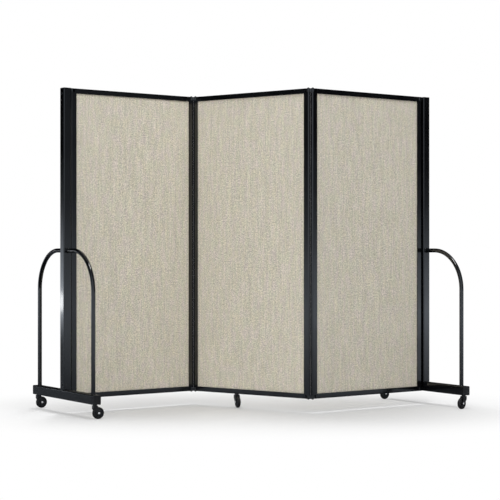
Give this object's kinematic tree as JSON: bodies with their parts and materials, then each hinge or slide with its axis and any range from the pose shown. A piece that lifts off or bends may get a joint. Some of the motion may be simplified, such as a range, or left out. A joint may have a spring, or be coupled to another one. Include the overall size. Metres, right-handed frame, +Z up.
{
  "type": "folding privacy screen on casters",
  "caption": "Low folding privacy screen with fabric panels in slim black frames, double-pivot hinges, T-shaped ends with hoops, and swivel casters.",
  "frame": {"origin": "on the floor, under the middle of the centre panel", "axes": "+Z up, -Y towards the front, +X to the right along the folded screen's length"},
  "size_m": [1.6884, 0.7518, 1.2225],
  "materials": {
    "frame_black": "black semi-gloss coat on extruded aluminium",
    "tube_black": "black semi-gloss coat on steel tube",
    "hinge_black": "black satin coat on steel",
    "cap_plastic": "black moulded plastic",
    "fork_plastic": "black moulded nylon",
    "wheel_black": "black moulded tread and hub",
    "axle_bright": "bright plated steel",
    "fabric_beige": "beige woven panel cloth on thin board",
    "core_board": "raw pressed fibreboard"
  },
  "bodies": {
    "centre_panel": {"centre_panel_left_stile": "frame_black", "centre_panel_right_stile": "frame_black", "centre_panel_top_rail": "frame_black", "centre_panel_bottom_rail": "frame_black", "centre_panel_core_board": "core_board", "centre_panel_front_fabric": "fabric_beige", "centre_panel_back_fabric": "fabric_beige"},
    "left_link": {"left_hinge_top_link": "hinge_black", "left_hinge_bottom_link": "hinge_black", "left_hinge_left_rod": "hinge_black", "left_hinge_right_rod": "hinge_black"},
    "left_panel": {"left_panel_left_stile": "frame_black", "left_panel_right_stile": "frame_black", "left_panel_top_rail": "frame_black", "left_panel_bottom_rail": "frame_black", "left_panel_core_board": "core_board", "left_panel_front_fabric": "fabric_beige", "left_panel_back_fabric": "fabric_beige", "left_post": "tube_black", "left_post_cap": "cap_plastic", "left_base_beam": "tube_black", "left_beam_front_cap": "cap_plastic", "left_beam_rear_cap": "cap_plastic", "left_hoop": "tube_black", "left_top_bracket": "tube_black", "left_bottom_bracket": "tube_black"},
    "right_link": {"right_hinge_top_link": "hinge_black", "right_hinge_bottom_link": "hinge_black", "right_hinge_left_rod": "hinge_black", "right_hinge_right_rod": "hinge_black"},
    "right_panel": {"right_panel_left_stile": "frame_black", "right_panel_right_stile": "frame_black", "right_panel_top_rail": "frame_black", "right_panel_bottom_rail": "frame_black", "right_panel_core_board": "core_board", "right_panel_front_fabric": "fabric_beige", "right_panel_back_fabric": "fabric_beige", "right_post": "tube_black", "right_post_cap": "cap_plastic", "right_base_beam": "tube_black", "right_beam_front_cap": "cap_plastic", "right_beam_rear_cap": "cap_plastic", "right_hoop": "tube_black", "right_top_bracket": "tube_black", "right_bottom_bracket": "tube_black"},
    "centre_caster": {"centre_caster_fork": "fork_plastic", "centre_caster_axle": "axle_bright"},
    "centre_wheel": {"centre_caster_wheel": "wheel_black"},
    "left_front_caster": {"left_front_caster_fork": "fork_plastic", "left_front_caster_axle": "axle_bright"},
    "left_front_wheel": {"left_front_caster_wheel": "wheel_black"},
    "left_rear_caster": {"left_rear_caster_fork": "fork_plastic", "left_rear_caster_axle": "axle_bright"},
    "left_rear_wheel": {"left_rear_caster_wheel": "wheel_black"},
    "right_front_caster": {"right_front_caster_fork": "fork_plastic", "right_front_caster_axle": "axle_bright"},
    "right_front_wheel": {"right_front_caster_wheel": "wheel_black"},
    "right_rear_caster": {"right_rear_caster_fork": "fork_plastic", "right_rear_caster_axle": "axle_bright"},
    "right_rear_wheel": {"right_rear_caster_wheel": "wheel_black"}
  },
  "joints": [
    {"name": "left_inner_fold", "type": "hinge", "parent": "centre_panel", "child": "left_link", "pos_m": [-0.21789, 0.15257, 0.053], "axis": [0, 0, 1], "range_deg": [-125, 55]},
    {"name": "left_outer_fold", "type": "hinge", "parent": "left_link", "child": "left_panel", "pos_m": [-0.23439, 0.15257, 0.053], "axis": [0, 0, 1], "range_deg": [-125, 55]},
    {"name": "right_inner_fold", "type": "hinge", "parent": "centre_panel", "child": "right_link", "pos_m": [0.21789, -0.15257, 0.053], "axis": [0, 0, 1], "range_deg": [-125, 55]},
    {"name": "right_outer_fold", "type": "hinge", "parent": "right_link", "child": "right_panel", "pos_m": [0.23439, -0.15257, 0.053], "axis": [0, 0, 1], "range_deg": [-125, 55]},
    {"name": "centre_swivel", "type": "hinge", "parent": "centre_panel", "child": "centre_caster", "pos_m": [-0.05325, 0.03728, 0.053], "axis": [0, 0, 1], "continuous": true},
    {"name": "centre_roll", "type": "hinge", "parent": "centre_caster", "child": "centre_wheel", "pos_m": [-0.04897, 0.02554, 0.022], "axis": [0.9397, 0.342, 0], "continuous": true},
    {"name": "left_front_swivel", "type": "hinge", "parent": "left_panel", "child": "left_front_caster", "pos_m": [-0.56216, -0.35283, 0.053], "axis": [0, 0, 1], "continuous": true},
    {"name": "left_front_roll", "type": "hinge", "parent": "left_front_caster", "child": "left_front_wheel", "pos_m": [-0.55112, -0.34696, 0.022], "axis": [-0.4695, 0.8829, 0], "continuous": true},
    {"name": "left_rear_swivel", "type": "hinge", "parent": "left_panel", "child": "left_rear_caster", "pos_m": [-0.82142, 0.01743, 0.053], "axis": [0, 0, 1], "continuous": true},
    {"name": "left_rear_roll", "type": "hinge", "parent": "left_rear_caster", "child": "left_rear_wheel", "pos_m": [-0.81048, 0.02349, 0.022], "axis": [-0.4848, 0.8746, 0], "continuous": true},
    {"name": "right_front_swivel", "type": "hinge", "parent": "right_panel", "child": "right_front_caster", "pos_m": [0.82142, -0.01743, 0.053], "axis": [0, 0, 1], "continuous": true},
    {"name": "right_front_roll", "type": "hinge", "parent": "right_front_caster", "child": "right_front_wheel", "pos_m": [0.81258, -0.02627, 0.022], "axis": [0.7071, -0.7071, 0], "continuous": true},
    {"name": "right_rear_swivel", "type": "hinge", "parent": "right_panel", "child": "right_rear_caster", "pos_m": [0.56216, 0.35283, 0.053], "axis": [0, 0, 1], "continuous": true},
    {"name": "right_rear_roll", "type": "hinge", "parent": "right_rear_caster", "child": "right_rear_wheel", "pos_m": [0.5518, 0.34584, 0.022], "axis": [0.5592, -0.829, 0], "continuous": true}
  ]
}
